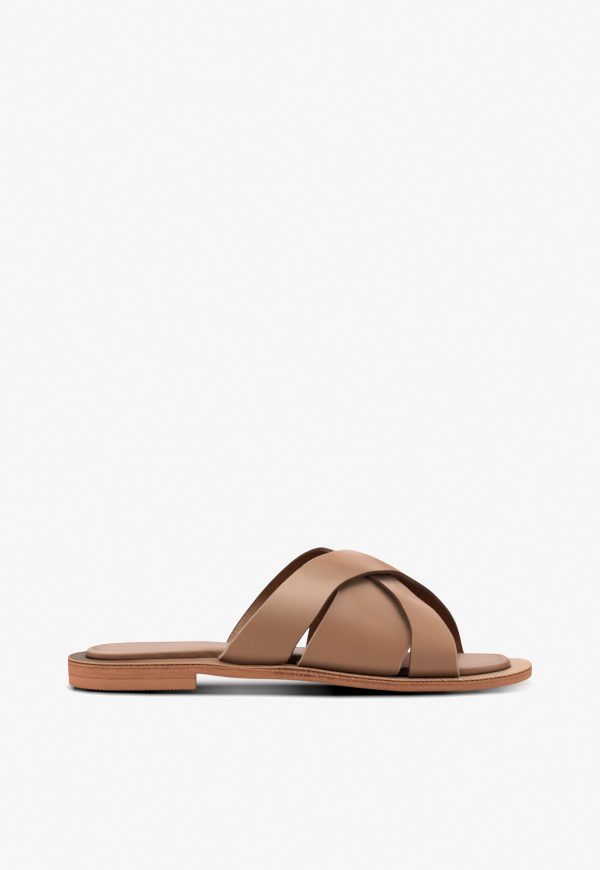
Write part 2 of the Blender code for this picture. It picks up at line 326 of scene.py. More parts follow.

# Straps: x of each edge at equal turns from the outer foot over the crest to the inner foot, lifts over
# other straps (turns where it starts to lift, is up, starts to come down and is down, and height), curl of
# the outer foot across its width (share, height), edges of other straps that cast painted shade on it
# (strap, edge, first turn, depth, full to, length of the fade), a painted highlight band at each turn, the
# rise by turn where its lining is painted paler where light falls on it, from 1 for nowhere, lean of its
# front edge to the toe, and rims: light ones are painted edge highlights, partly the real burnished edge,
# dark ones where negative
TURNS = np.linspace(0, 1, 9)
STRAPS = {
    "middle": {
        "rear": (-1, 11.3, 19.5, 23.5, 24.5, 22.5, 17.5, 10, 4.5),
        "front": (51.8, 58.8, 57.5, 48, 42.5, 49, 58, 61, 57),
        "lifts": ((0.04, 0.22, 0.8, 0.96, -1.8),),
        "curl": ((0, 0.2), (0.08, 0), (0.85, 0), (0.93, 0.3), (1, 1.4)),
        "shades": (
            ("over_cross", "front", 0.25, 0.6, 0.8, 3.0),
            ("over_cross", "front", 0.36, 0.75, 1.0, 7.0),
            ("under_cross", "rear", 0.02, 0.7, 0.3, 3.2),
        ),
        "sheen": ((0, 0), (0.07, 0), (0.16, 0.25), (0.28, 0.42), (0.5, 0.42), (1, 0)),
        "pale": (1, 0.15),
        "lean": 0.5,
        "rims": (1.0, 0.7),
    },
    "under_cross": {
        "rear": (56.6, 57.2, 50.7, 32.4, 17.2, 5.2, -7.7, -23.1, -40.3),
        "front": (83.3, 80.6, 73.2, 58.2, 38, 22, 9, -2, -9),
        "lifts": (
            (0.0, 0.08, 0.66, 0.98, 2.1),
            (0.28, 0.36, 0.44, 0.58, -1.2),
            (0.5, 0.58, 0.62, 0.8, 0.3),
        ),
        "curl": ((0, 0.1), (0.1, 0), (0.9, 0), (1, 0.1)),
        "shades": (("over_cross", "front", 0.3, 0.92, 4.0, 5.5),),
        "sheen": ((0, 0), (0.06, 0.05), (0.16, 0.25), (0.28, 0.25), (0.5, 0.1), (1, 0)),
        "pale": (0.845, 0.15),
        "lean": 0.0,
        "rims": (-0.7, 1.0),
    },
    "over_cross": {
        "rear": (-42.7, -22.7, -4.6, 12.7, 25.5, 38, 50, 59.5, 65),
        "front": (-7, 8.2, 20.6, 42, 55.4, 72.9, 85.1, 90.6, 93.8),
        "lifts": ((0.0, 0.2, 0.92, 1.0, 2.1), (0.2, 0.36, 0.58, 0.78, 2.1)),
        "curl": (
            (0, 1.2), (0.1, -0.3), (0.19, -1.5), (0.32, -1.9), (0.49, -1.6), (0.62, -1.25),
            (0.76, -0.8), (0.87, 0), (0.94, 0.9), (1, 2.1),
        ),
        "shades": (),
        "sheen": (
            (0, 0), (0.06, 0), (0.1, 0.2), (0.15, 0.75), (0.19, 0.9), (0.23, 0.8), (0.28, 0.3),
            (0.34, 0.05), (1, 0),
        ),
        "pale": (1, 0.15),
        "lean": 0.65,
        "rims": (1.0, -0.8),
    },
}
# Cut edge of a strap: inset from its edge line, share of the leather's thickness
STRAP_EDGE = (
    (0.62, 1.0), (0.34, 0.985), (0.15, 0.93), (0.04, 0.83), (0.0, 0.7), (0.0, 0.5), (0.0, 0.3),
    (0.04, 0.17), (0.15, 0.07), (0.34, 0.015), (0.62, 0.0),
)

# Tones in linear red, green and blue; a pair is the darker and the lighter end of a mottle
STRAP_TONES = ((0.36, 0.156, 0.079), (0.38, 0.165, 0.083))
STRAP_PAINTED_SHEEN = (0.6, 0.36, 0.245)
STRAP_SHADED = (0.02, 0.008, 0.004)
RIM_HIGHLIGHT_TONE = (0.8, 0.54, 0.4)
CUT_TONES = ((0.14, 0.065, 0.036), (0.22, 0.11, 0.064))
CUT_DARK = (0.07, 0.027, 0.013)
LINING_TONES = ((0.115, 0.04, 0.015), (0.18, 0.064, 0.026))
LINING_LIT_TONES = ((0.46, 0.25, 0.16), (0.76, 0.46, 0.32))
PAD_TONES = ((0.29, 0.12, 0.062), (0.32, 0.135, 0.07))
PAD_HIGHLIGHT = (0.62, 0.38, 0.25)
PAD_SHADE_TONE = (0.03, 0.012, 0.006)
SOLE_TONES = ((0.49, 0.172, 0.082), (0.62, 0.238, 0.122))
HEEL_TONES = ((0.62, 0.225, 0.115), (0.7, 0.27, 0.142))
SOLE_MARK_AND_HIGHLIGHT = (0.86, 0.48, 0.25)
SOLE_MARK_AND_SHADE = (0.03, 0.012, 0.007)
MARGIN_TONES = ((0.27, 0.14, 0.085), (0.32, 0.17, 0.1))
MARGIN_PALE = (0.6, 0.37, 0.27)
WHITE = (1, 1, 1)
BLACK = (0, 0, 0)

# Sockets of the mix node that belong to its colour mode: share and two colours, and the result
MIX_INPUTS = (0, 6, 7)
MIX_RESULT = 2

# Soft boxes: their distance, then azimuth from the outer side towards the toe, elevation, size, watts,
# and whether they are seen in gloss
LIGHT_DISTANCE = 1.3
LIGHTS = {
    "far_box": (180, 28, 0.6, 3.2, True),
    "top_box": (0, 84, 1.5, 8, True),
    "top_fill": (0, 84, 1.5, 18, False),
    "left_box": (-80, 58, 0.7, 5, True),
    "sheen_box": (-15, 38, 0.4, 3, True),
    "back_box": (140, 46, 0.6, 3.5, True),
    "heel_box": (-92, 14, 0.5, 2.5, True),
    "toe_box": (80, 18, 0.5, 5, True),
}
ROOM_LIGHT = 0.1
BACKDROP = 1.2
# Tone curve of the film: its combined curve, a point on it, and the level of full white
COMBINED_CURVE = 3
CURVE_POINT = (0.8, 0.79)
WHITE_LEVEL = 0.922

# Floor: half its size, where it starts to fade and is gone, its tone, and its glow for camera and sandal
FLOOR_HALF = 1.32
FLOOR_CLEAR = 0.45
FLOOR_GONE = 1.2
FLOOR_PAPER = 0.35
FLOOR_GLOW = 0.85
FLOOR_BOUNCE = 0.32
# Painted soft shade on the floor: reach along x, half its softness in front, the y where it starts and is
# full behind, and its strength for the sandal
SHADE_REACH = 0.16
SHADE_SOFT = 0.0105
SHADE_BACK = (0.016, -0.018)
BOUNCE_SHADE = 0.4
# The same shade along the sandal, in millimetres: x, depth, y of its front edge
FLOOR_SHADE = (
    (-130, 0.0, -22), (-124, 0.97, -32.5), (-116, 1.0, -41), (-105, 1.0, -46.5), (-83, 1.0, -51.5),
    (-62, 0.985, -52.5), (-52, 0.92, -53.5), (-35, 0.845, -54.5), (-20, 0.88, -56.5),
    (0, 0.98, -61), (16, 1.0, -64.5), (55, 1.0, -64.8), (74, 0.995, -62.5), (93, 0.93, -57),
    (105, 0.76, -53.5), (116, 0.44, -47), (126, 0.2, -40), (136, 0.0, -32),
)
# A colour ramp holds values from 0 to 1, so it holds that y as a share of this many millimetres
RAMP_UNIT = 100

# Camera, fitted to the photograph: direction from the sandal, distance, target, image frame in pixels,
# and where the target falls in it
CAMERA_AZIMUTH = -3.0
CAMERA_ELEVATION = 7.0
CAMERA_DISTANCE = 1.7
CAMERA_TARGET = Vector((0, 0, 0.03))
IMAGE_SIZE = (600, 870)
TARGET_PIXEL = (300.5, 627.3)
PIXELS_PER_METRE = 1812.5
SENSOR = 36.0


# Curves and outlines


def through(rows, at, column):
    """Smooth curve, with no overshoot, through one column of a table whose first column is x."""
    x = np.array([row[0] for row in rows], float)
    y = np.array([row[column] for row in rows], float)
    step = np.diff(x)
    rise = np.diff(y) / step
    same_way = rise[1:] * rise[:-1] > 0
    total = np.where(same_way, rise[1:] + rise[:-1], 1)
    mean = np.where(same_way, 2 * rise[1:] * rise[:-1] / total, 0)
    slope = np.concatenate([rise[:1], mean, rise[-1:]])
    at = np.clip(at, x[0], x[-1])
    i = np.clip(np.searchsorted(x, at) - 1, 0, len(x) - 2)
    s = (at - x[i]) / step[i]
    bulge = (slope[i] - rise[i]) * (1 - s) - (slope[i + 1] - rise[i]) * s
    return y[i] + rise[i] * step[i] * s + bulge * step[i] * s * (1 - s)


def climb(value, start, length):
    """0 up to start, rising softly to 1 over the length, which may be negative."""
    share = np.clip((value - start) / length, 0, 1)
    return share * share * (3 - 2 * share)


def between(value, low, high, soft):
    """1 between low and high, falling softly to 0 outside."""
    return climb(value, low - soft / 2, soft) * climb(value, high + soft / 2, -soft)


def wobble(at, wave, seed):
    """Smooth irregular curve between about -1 and 1, with features about one wave long."""
    dice = np.random.default_rng(seed)
    pitches = dice.uniform(*WOBBLE_PITCHES, WOBBLE_TERMS)
    phases = dice.uniform(0, 2 * np.pi, WOBBLE_TERMS)
    total = np.zeros_like(at)
    for pitch, phase in zip(pitches, phases):
        total += np.sin(2 * np.pi * at / (wave * pitch) + phase)
    return total / np.sqrt(2 * WOBBLE_TERMS)


def uneven(at, mean, swing, wave, seed):
    """Irregular value around a mean."""
    return mean + swing * wobble(at, wave, seed)


def unit(vectors):
    return vectors / np.linalg.norm(vectors, axis=-1, keepdims=True)


def end_round(x, toe_fullness):
    """Share of the half width that the rounded heel and toe leave at x."""
    half = LENGTH / 2
    heel = np.clip((HEEL_ROUND - half - x) / HEEL_ROUND, 0, 1)
    toe = np.clip((x - half + TOE_ROUND) / TOE_ROUND, 0, 1)
    heel_share = (1 - heel**HEEL_FULLNESS) ** (1 / HEEL_FULLNESS)
    return heel_share * (1 - toe**toe_fullness) ** (1 / toe_fullness)


def sole_sides(x):
    """Outer and inner y of the sole's outline at x."""
    outer = through(OUTLINE, x, 1)
    inner = through(OUTLINE, x, 2)
    middle = (outer + inner) / 2
    half = (inner - outer) / 2
    return middle - half * end_round(x, TOE_FULLNESS), middle + half * end_round(x, INNER_TOE_FULLNESS)


def outline_ring(stations):
    """Points up the sole's outer side and back down its inner side, outward normals, distance along."""
    turn = np.pi * (np.arange(stations) + 0.5) / stations
    x = -np.cos(turn) * LENGTH / 2
    outer, inner = sole_sides(x)
    ring = np.concatenate([np.c_[x, outer], np.c_[x, inner][::-1]])
    along = np.roll(ring, -1, axis=0) - np.roll(ring, 1, axis=0)
    normal = unit(np.c_[along[:, 1], -along[:, 0]])
    step = np.linalg.norm(np.diff(ring, axis=0), axis=1)
    return ring, normal, np.concatenate([[0], np.cumsum(step)])


def outer_share(ring):
    """1 on the outer side of the sole, falling softly to 0 on the inner side."""
    return climb(ring[:, 1], *OUTER_RISE)


def underside(x):
    return through(UNDERSIDE, x, 1)


def midsole_seat(x):
    return underside(x) + OUTSOLE_THICKNESS + GAP


def sole_top(x):
    return underside(x) + SOLE_THICKNESS


# Meshes


def add_object(name, data):
    made = bpy.data.objects.new(name, data)
    bpy.context.scene.collection.objects.link(made)
    return made


def mesh_object(name, points, faces, materials, attributes, face_materials=None):
    """Smooth piece on the root body, from points in millimetres and values for its materials at them."""
    data = bpy.data.meshes.new(name)
    data.from_pydata((points * MM).tolist(), [], faces)
    for material in materials:
        data.materials.append(material)
    if face_materials is not None:
        data.polygons.foreach_set("material_index", face_materials)
    for key, values in attributes.items():
        kind, field = ("FLOAT", "value") if values.ndim == 1 else ("FLOAT_VECTOR", "vector")
        layer = data.attributes.new(key, kind, "POINT")
        layer.data.foreach_set(field, values.astype(np.float32).ravel())
    data.shade_smooth()
    data.update()
    piece = add_object(name, data)
    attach(piece, "root")
    return piece


def loft_quads(rings, count):
    """Quads between closed rings of count points each."""
    i = np.arange(count)
    j = (i + 1) % count
    base = count * np.arange(rings - 1)[:, None]
    corners = [base + i, base + j, base + count + j, base + count + i]
    return np.stack(corners, axis=-1).reshape(-1, 4)


def ring_faces(rings, count):
    """Quads of a closed loft through rings that run up one side and back down the other."""
    k = np.arange(count // 2 - 1)
    last = (rings - 1) * count
    bottom = np.c_[k, count - 1 - k, count - 2 - k, k + 1]
    top = np.c_[last + k, last + k + 1, last + count - 2 - k, last + count - 1 - k]
    return np.concatenate([loft_quads(rings, count), bottom, top]).tolist()


def ring_object(name, rings, materials, paint, streak=None):
    """Closed piece lofted through rings, with paint from 0 to 1 by ring, by station or by both."""
    rings = np.array(rings)
    shape = rings.shape[:2]
    values = {key: np.broadcast_to(np.clip(share, 0, 1), shape).ravel() for key, share in paint.items()}
    if streak is not None:
        values["streak"] = streak.reshape(-1, 3)
    return mesh_object(name, rings.reshape(-1, 3), ring_faces(*shape), materials, values)


# Shader nodes


def plug(tree, sockets, values):
    """Sets sockets, in order, to values or to the outputs of other nodes."""
    for socket, value in zip(sockets, values):
        if isinstance(value, bpy.types.NodeSocket):
            tree.links.new(value, socket)
        else:
            socket.default_value = value


def feed(tree, made, **inputs):
    """Sets inputs of a node by name."""
    plug(tree, [made.inputs[key.replace("_", " ")] for key in inputs], inputs.values())


def node(tree, kind, settings=(), **inputs):
    """Adds a shader node of a kind, with its settings and inputs."""
    made = tree.nodes.new("ShaderNode" + kind)
    for key, value in settings:
        setattr(made, key, value)
    feed(tree, made, **inputs)
    return made


def start_material(name, roughness, specular):
    material = bpy.data.materials.new(name)
    material.use_nodes = True
    tree = material.node_tree
    shader = tree.nodes["Principled BSDF"]
    feed(tree, shader, Roughness=roughness, Specular_IOR_Level=specular)
    return material, tree, shader


def noise(tree, scale, detail=3.0, vector=None):
    """Noise on object coordinates in metres, or on the given vector."""
    if vector is None:
        vector = node(tree, "TexCoord").outputs["Object"]
    return node(tree, "TexNoise", Vector=vector, Scale=scale, Detail=detail).outputs[0]


def spread(tree, value, low, high, start=0.3, end=0.7):
    """Maps the range from start to end, by default the middle of a noise, to that from low to high."""
    limits = {"From_Min": start, "From_Max": end, "To_Min": low, "To_Max": high}
    return node(tree, "MapRange", Value=value, **limits).outputs[0]


def soft_step(tree, value, start, end):
    """0 at start, rising softly to 1 at end, which may be the lower of the two."""
    smooth = [("interpolation_type", "SMOOTHSTEP")]
    return node(tree, "MapRange", smooth, Value=value, From_Min=start, From_Max=end).outputs[0]


def maths(tree, operation, *values):
    made = node(tree, "Math", [("operation", operation)])
    plug(tree, made.inputs, values)
    return made.outputs[0]


def attribute(tree, name, output="Fac"):
    """Value given at the points of the mesh, 0 where the mesh has none."""
    return node(tree, "Attribute", [("attribute_name", name)]).outputs[output]


def mix(tree, share, first, second):
    """Colour between two colours, each a tone or the output of another node."""
    made = node(tree, "Mix", [("data_type", "RGBA")])
    colours = [(*colour, 1) if isinstance(colour, tuple) else colour for colour in (first, second)]
    plug(tree, [made.inputs[index] for index in MIX_INPUTS], (share, *colours))
    return made.outputs[MIX_RESULT]


def mottle(tree, pattern, tones):
    """Colour that follows a noise from the first tone to the second."""
    return mix(tree, spread(tree, pattern, 0, 1), *tones)


def lit(tree, colour, value):
    """Colour made lighter or darker by a value around 1."""
    return node(tree, "HueSaturation", Color=colour, Value=value).outputs[0]


def bump(tree, shader, height, depth_mm):
    made = node(tree, "Bump", Height=height, Distance=depth_mm * MM, Strength=1.0)
    feed(tree, shader, Normal=made.outputs[0])


# Materials


def strap_leather():
    """Satin leather, with a painted highlight band, light rims that are painted edge highlights and partly
    real burnish, and painted shade.
    """
    material, tree, shader = start_material("strap_leather_face", roughness=0.4, specular=0.42)
    broad = noise(tree, scale=45.0, detail=2.0)
    grain = noise(tree, scale=1500.0)
    colour = mottle(tree, noise(tree, scale=25.0), STRAP_TONES)
    for pattern in (broad, grain):
        colour = lit(tree, colour, spread(tree, pattern, low=0.95, high=1.05))
    # Painted highlight band across the strap's shoulder, by turn
    colour = mix(tree, attribute(tree, "sheen"), colour, STRAP_PAINTED_SHEEN)
    # Light rims: painted edge highlight, partly the real burnished edge
    rim = spread(tree, attribute(tree, "rim"), low=0, high=0.7, start=0, end=1)
    colour = mix(tree, rim, colour, RIM_HIGHLIGHT_TONE)
    # Painted shade beside the straps that lie over this one and just above its feet
    shade = attribute(tree, "shade")
    colour = mix(tree, shade, colour, STRAP_SHADED)
    gloss = spread(tree, shade, low=0.42, high=0.05, start=0, end=0.8)
    rough = spread(tree, grain, low=0.36, high=0.44)
    feed(tree, shader, Base_Color=colour, Specular_IOR_Level=gloss, Roughness=rough)
    bump(tree, shader, grain, depth_mm=0.03)
    return material


def strap_edge():
    """Cut edge of the strap leather, with light rims that are painted highlights, partly real burnish, and
    dark ones where negative.
    """
    material, tree, shader = start_material("strap_leather_edge", roughness=0.65, specular=0.1)
    fibre = noise(tree, scale=1300.0, detail=4.0)
    colour = mottle(tree, fibre, CUT_TONES)
    rim = attribute(tree, "rim")
    # Light rims are painted edge highlight, partly real burnish; negative rims are dark edges
    colour = mix(tree, spread(tree, rim, low=0, high=0.6, start=0, end=1), colour, RIM_HIGHLIGHT_TONE)
    colour = mix(tree, spread(tree, rim, low=0, high=1, start=0, end=-1), colour, CUT_DARK)
    feed(tree, shader, Base_Color=colour)
    bump(tree, shader, fibre, depth_mm=0.08)
    return material


def strap_lining():
    """Napped inner face of the straps, painted paler by turn where light falls on it."""
    material, tree, shader = start_material("strap_lining", roughness=0.9, specular=0.05)
    nap = noise(tree, scale=900.0, detail=5.0)
    # Paler tones painted where light falls on the lining
    pale = mottle(tree, nap, LINING_LIT_TONES)
    colour = mix(tree, attribute(tree, "pale"), mottle(tree, nap, LINING_TONES), pale)
    feed(tree, shader, Base_Color=colour, Sheen_Weight=0.05, Sheen_Roughness=0.5)
    bump(tree, shader, nap, depth_mm=0.15)
    return material


def pad_leather():
    """Smooth leather of the insole, with a painted highlight on its bead and painted shade on its side and
    in its creases.
    """
    material, tree, shader = start_material("insole_leather_face", roughness=0.4, specular=0.5)
    grain = noise(tree, scale=1200.0)
    colour = mottle(tree, noise(tree, scale=40.0), PAD_TONES)
    colour = lit(tree, colour, spread(tree, grain, low=0.96, high=1.04))
    # Painted highlight along the pad's bead
    colour = mix(tree, attribute(tree, "light"), colour, PAD_HIGHLIGHT)
    # Painted shade on the pad's side, in its creases, along its pressed line, at its foot and under the
    # straps
    dark = attribute(tree, "dark")
    colour = mix(tree, dark, colour, PAD_SHADE_TONE)
    gloss = spread(tree, dark, low=0.5, high=0.05, start=0, end=0.9)
    rough = spread(tree, grain, low=0.36, high=0.45)
    feed(tree, shader, Base_Color=colour, Specular_IOR_Level=gloss, Roughness=rough)
    bump(tree, shader, grain, depth_mm=0.03)
    return material


def sole_edge(name, tones, roughness):
    """Cut edge with streaks along it, a painted margin, strokes, grooves and holes, and painted highlights
    and shade.
    """
    material, tree, shader = start_material(name, roughness, specular=0.12)
    streak = noise(tree, scale=1.0, detail=4.0, vector=attribute(tree, "streak", "Vector"))
    fine = noise(tree, scale=700.0, detail=4.0)
    colour = lit(tree, mottle(tree, streak, tones), spread(tree, fine, low=0.93, high=1.07))
    margin = mottle(tree, noise(tree, scale=250.0), MARGIN_TONES)
    # Light marks carry painted highlights, and dark marks painted shade, as well as real marks
    layers = (("top", margin), ("pale", MARGIN_PALE), ("light", SOLE_MARK_AND_HIGHLIGHT), ("dark", SOLE_MARK_AND_SHADE))
    for key, tone in layers:
        colour = mix(tree, attribute(tree, key), colour, tone)
    rough = spread(tree, streak, low=roughness - 0.05, high=roughness + 0.1)
    feed(tree, shader, Base_Color=colour, Roughness=rough)
    bump(tree, shader, streak, depth_mm=0.06)
    return material


def floor_painted_shade(tree, place):
    """Depth of the painted soft shade under and before the sandal."""
    along = spread(tree, place["X"], low=0, high=1, start=-SHADE_REACH, end=SHADE_REACH)
    ramp = node(tree, "ValToRGB", Fac=along)
    stops = ramp.color_ramp.elements
    while len(stops) < len(FLOOR_SHADE):
        stops.new(1.0)
    for stop, (x, depth, front) in zip(stops, FLOOR_SHADE):
        stop.position = (x * MM + SHADE_REACH) / (2 * SHADE_REACH)
        stop.color = (depth, -front / RAMP_UNIT, 0, 1)
    shade = node(tree, "SeparateColor", Color=ramp.outputs[0]).outputs
    ahead = maths(tree, "MULTIPLY_ADD", shade["Green"], RAMP_UNIT * MM, place["Y"])
    depth = maths(tree, "MULTIPLY", shade["Red"], soft_step(tree, ahead, -SHADE_SOFT, SHADE_SOFT))
    return maths(tree, "MULTIPLY", depth, soft_step(tree, place["Y"], *SHADE_BACK))


def floor_paper():
    """Pale paper with a painted soft shade, fading into the backdrop with distance."""
    material, tree, shader = start_material("floor_paper", roughness=0.95, specular=0.0)
    place = node(tree, "TexCoord").outputs["Object"]
    depth = floor_painted_shade(tree, node(tree, "SeparateXYZ", Vector=place).outputs)
    seen = node(tree, "LightPath").outputs["Is Camera Ray"]
    depth = maths(tree, "MULTIPLY", depth, spread(tree, seen, BOUNCE_SHADE, 1, start=0, end=1))
    glow = spread(tree, seen, FLOOR_BOUNCE, FLOOR_GLOW, start=0, end=1)
    away = node(tree, "VectorMath", [("operation", "LENGTH")], Vector=place).outputs["Value"]
    # Painted shade darkens the paper and its glow
    paper = mix(tree, depth, (FLOOR_PAPER,) * 3, BLACK)
    light = mix(tree, depth, WHITE, BLACK)
    shown = soft_step(tree, away, FLOOR_GONE, FLOOR_CLEAR)
    feed(tree, shader, Base_Color=paper, Emission_Color=light, Emission_Strength=glow, Alpha=shown)
    return material


# Sole


def edge_columns(edge):
    """Insets and heights of an edge table, each as a column with one row for each ring."""
    insets, heights = np.array(edge).T
    return insets[:, None], heights[:, None]


def at_stations(table, ring):
    """Second column of a table at the x of each point of a ring."""
    return through(table, ring[:, 0], 1)


def streak_rows(ring, edge, shift=0):
    """Where a streaky pattern is read: drawn out along the sole, fine across it."""
    across = [np.full(len(ring), (height - shift) * STREAK_FINENESS) for _, height in edge]
    return np.array([np.c_[ring / STREAK_LENGTH, row] for row in across])


def sole_rings(ring, normal, edge, base, inset_more, height_more):
    """Rings of a sole layer: each row of its edge table, with changes for each row and station."""
    rings = []
    for (inset, height), inward, lift in zip(edge, inset_more, height_more):
        flat = ring - normal * (inset + inward)[:, None]
        rings.append(np.c_[flat, base(flat[:, 0]) + height + lift])
    return np.array(rings)


def wheel_marks(ring, along, heights):
    """Strength of the wheel marks at each station, and their strokes at each row and station."""
    strength = at_stations(KNURL_WEAR, ring) * np.clip(uneven(along, *KNURL_UNEVEN), 0, 1)
    phase = (along + uneven(along, *KNURL_DRIFT)) / KNURL_PITCH + heights * KNURL_SLANT
    stroke = np.clip(0.5 + KNURL_SHARPNESS * np.cos(2 * np.pi * phase), 0, 1)
    return strength, stroke


def seam_dashes(ring, along):
    """Dark stitch holes along the seam under the midsole: stronger at the arch, worn away elsewhere."""
    dice = np.random.default_rng(DASH_SEED)
    dashes = np.zeros(len(along))
    at = 0.0
    while at < along[-1]:
        half = dice.uniform(*DASH_HALF_LENGTHS)
        tone = dice.uniform(*DASH_TONES)
        dashes = np.maximum(dashes, tone * climb(np.abs(along - at), half + DASH_END, -DASH_SOFT))
        at += dice.uniform(*DASH_STEPS)
    return dashes * at_stations(DASH_WEAR, ring)


def midsole_wave(ring, insets, heights):
    """Small rise and fall of the outer rim, and the outer margin's rise towards the pad."""
    rim = np.where(ring[:, 1] < 0, at_stations(RIM_WAVE, ring), 0.0)
    rim = rim * climb(heights, *WAVE_RISE) * np.interp(insets, WAVE_INSETS, (1, 0))
    bank = at_stations(BANK, ring) * outer_share(ring)
    return rim + bank * climb(insets, *BANK_RISE)


def add_midsole(material):
    """Upper sole leather, with a grooved and marked side and a margin round the pad."""
    ring, normal, along = outline_ring(FINE_STATIONS)
    insets, heights = edge_columns(MIDSOLE_EDGE)
    strength, stroke = wheel_marks(ring, along, heights)
    on_groove = between(heights, *GROOVE_BAND)
    on_rim = between(heights, *RIM_BAND) * (insets < RIM_INSET)
    dashes = climb(heights, *DASH_MIDSOLE_RISE) * seam_dashes(ring, along)

    knurl = KNURL_DEPTH * strength * (KNURL_IN_GROOVE * on_groove + on_rim) * (0.5 - stroke)
    wander = uneven(along, *GROOVE_WANDER) * on_groove
    lift = midsole_wave(ring, insets, heights) + wander
    rings = sole_rings(ring, normal, MIDSOLE_EDGE, midsole_seat, knurl + DASH_DEPTH * dashes, lift)

    groove = at_stations(GROOVE_SHOWN, ring) * uneven(along, *GROOVE_UNEVEN)
    groove = on_groove * (groove - GROOVE_MARKS * strength * stroke)
    on_welt = (heights > WELT_HEIGHT) * climb(ring[:, 0], *WELT_RISE) * climb(insets, *WELT_INSET_RISE)
    margin = climb(insets, *MARGIN_RISE) * (heights > MARGIN_HEIGHT)
    tone = margin * at_stations(MARGIN_TONE, ring)
    # Painted shade of the pad on the margin beside it
    contact_shade = PAD_SHADE * climb(insets - at_stations(INSOLE, ring), *PAD_SHADE_RISE)
    specks = between(heights, *SPECK_BAND) * climb(wobble(along, *SPECK_PATTERN), *SPECK_RISE)
    dark = groove + dashes + contact_shade + np.clip(-tone, 0, 1)
    dark = dark + (RIM_SHADE * strength * on_rim + WELT_SHADE * on_welt) * (1 - stroke)
    # Painted highlight along the rounded rim, and the light strokes of the wheel marks
    light = on_rim * (RIM_HIGHLIGHT + RIM_MARKS * strength * stroke)
    light = light + WELT_LIGHT * on_welt * stroke + SPECK_LIGHT * specks
    paint = {"dark": dark, "light": light, "top": margin, "pale": tone}
    piece = ring_object("midsole_leather", rings, [material], paint, streak_rows(ring, MIDSOLE_EDGE))
    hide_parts("midsole")


def add_outsole(material):
    """Lower sole leather, with a painted highlight on its lower bevel and stitch holes at its upper edge.
    """
    ring, normal, along = outline_ring(STATIONS)
    insets, heights = edge_columns(OUTSOLE_EDGE)
    over_heel = climb(ring[:, 0], *OVER_HEEL_RISE)
    square = -np.clip(insets - SQUARE_INSET, 0, 1) * over_heel
    drop = -at_stations(WAIST_DROP, ring) * (1 - heights / OUTSOLE_THICKNESS)
    rings = sole_rings(ring, normal, OUTSOLE_EDGE, underside, square, drop)
    # Painted highlight along the lower bevel
    bevel_highlight = between(heights, *BEVEL_BAND) * uneven(along, *BEVEL_UNEVEN) * (1 - over_heel)
    paint = {
        "dark": climb(heights, *DASH_OUTSOLE_RISE) * seam_dashes(ring, along),
        "light": BEVEL_HIGHLIGHT * bevel_highlight,
        "top": UNDERSIDE_TONE * (insets > UNDERSIDE_INSET),
    }
    streak = streak_rows(ring, OUTSOLE_EDGE, OUTSOLE_STREAK)
    piece = ring_object("outsole_leather", rings, [material], paint, streak)
    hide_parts("outsole")


def heel_ring():
    """Outline of the heel, with its straight front, and the outward way at each point."""
    ring, normal, _ = outline_ring(FINE_STATIONS)
    half = len(ring) // 2
    behind = ring[:, 0] < BREAST_X - BREAST_ROUND
    outer = np.flatnonzero(behind[:half])
    inner = half + np.flatnonzero(behind[half:])
    outer_y, inner_y = sole_sides(np.array([BREAST_X]))
    turn = np.linspace(0, np.pi / 2, BREAST_STEPS)
    x = BREAST_X - BREAST_ROUND * (1 - np.sin(turn))
    inward = BREAST_ROUND * (1 - np.cos(turn))
    outer_corner = np.c_[x, outer_y + inward]
    inner_corner = np.c_[x, inner_y - inward][::-1]
    side = np.tile([0.0, -1.0], (BREAST_STEPS, 1))
    path = np.concatenate([ring[outer], outer_corner, inner_corner, ring[inner]])
    return path, np.concatenate([normal[outer], side, -side, normal[inner]])


def add_heel_layer(name, node_name, edge, material, serrated):
    """Layer of the heel, with painted shade on its front, and a fine tread with a painted highlight on its
    lower edge where it is serrated.
    """
    path, normals = heel_ring()
    _, heights = edge_columns(edge)
    rings = []
    for inset, height in edge:
        flat = path - normals * inset
        z = np.full(len(path), height)
        if serrated:
            land = climb(np.cos(2 * np.pi * flat[:, 0] / TREAD_PITCH), *TREAD_RISE)
            z = z + TREAD_DEPTH * (1 - land) * np.clip(1 - height / TREAD_HEIGHT, 0, 1)
        rings.append(np.c_[flat, z])
    seam = np.clip(1 - np.abs(heights - LIFT_SEAM) / HEEL_SEAM_WIDTH, 0, 1)
    holes = wobble(path[:, 0] + path[:, 1], *HEEL_DASH_PATTERN) > HEEL_DASH_LEVEL
    holes = holes * between(path[:, 0], *HEEL_DASH_BAND)
    # Painted shade on the heel's front and a painted highlight along its serrated lower edge; the seam and
    # its holes are real marks
    paint = {
        "dark": seam * (HEEL_SEAM_SHADE + holes) + BREAST_SHADE * climb(path[:, 0], *BREAST_RISE),
        "light": TREAD_HIGHLIGHT * between(heights, *TREAD_BAND) * serrated,
    }
    piece = ring_object(name, rings, [material], paint, streak_rows(path, edge, HEEL_STREAK))
    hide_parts(node_name)


# Insole


def pad_wrinkles(ring, along):
    """Fine slanted wrinkles in the pad's outer side behind the straps."""
    zone = between(ring[:, 0], *WRINKLE_BAND) * (ring[:, 1] < 0)
    fine = sum(share * np.abs(wobble(along, wave, seed)) for share, wave, seed in WRINKLE_PATTERNS)
    mean, swing, wave, seed = WRINKLE_PATCHES
    patches = mean + swing * np.abs(wobble(along, wave, seed))
    return zone * patches * (WRINKLE_LEVEL - fine)


def pad_height(x, share):
    """Height of the pad above the floor at a share of its thickness."""
    return sole_top(x) + GAP + through(INSOLE, x, 2) * share


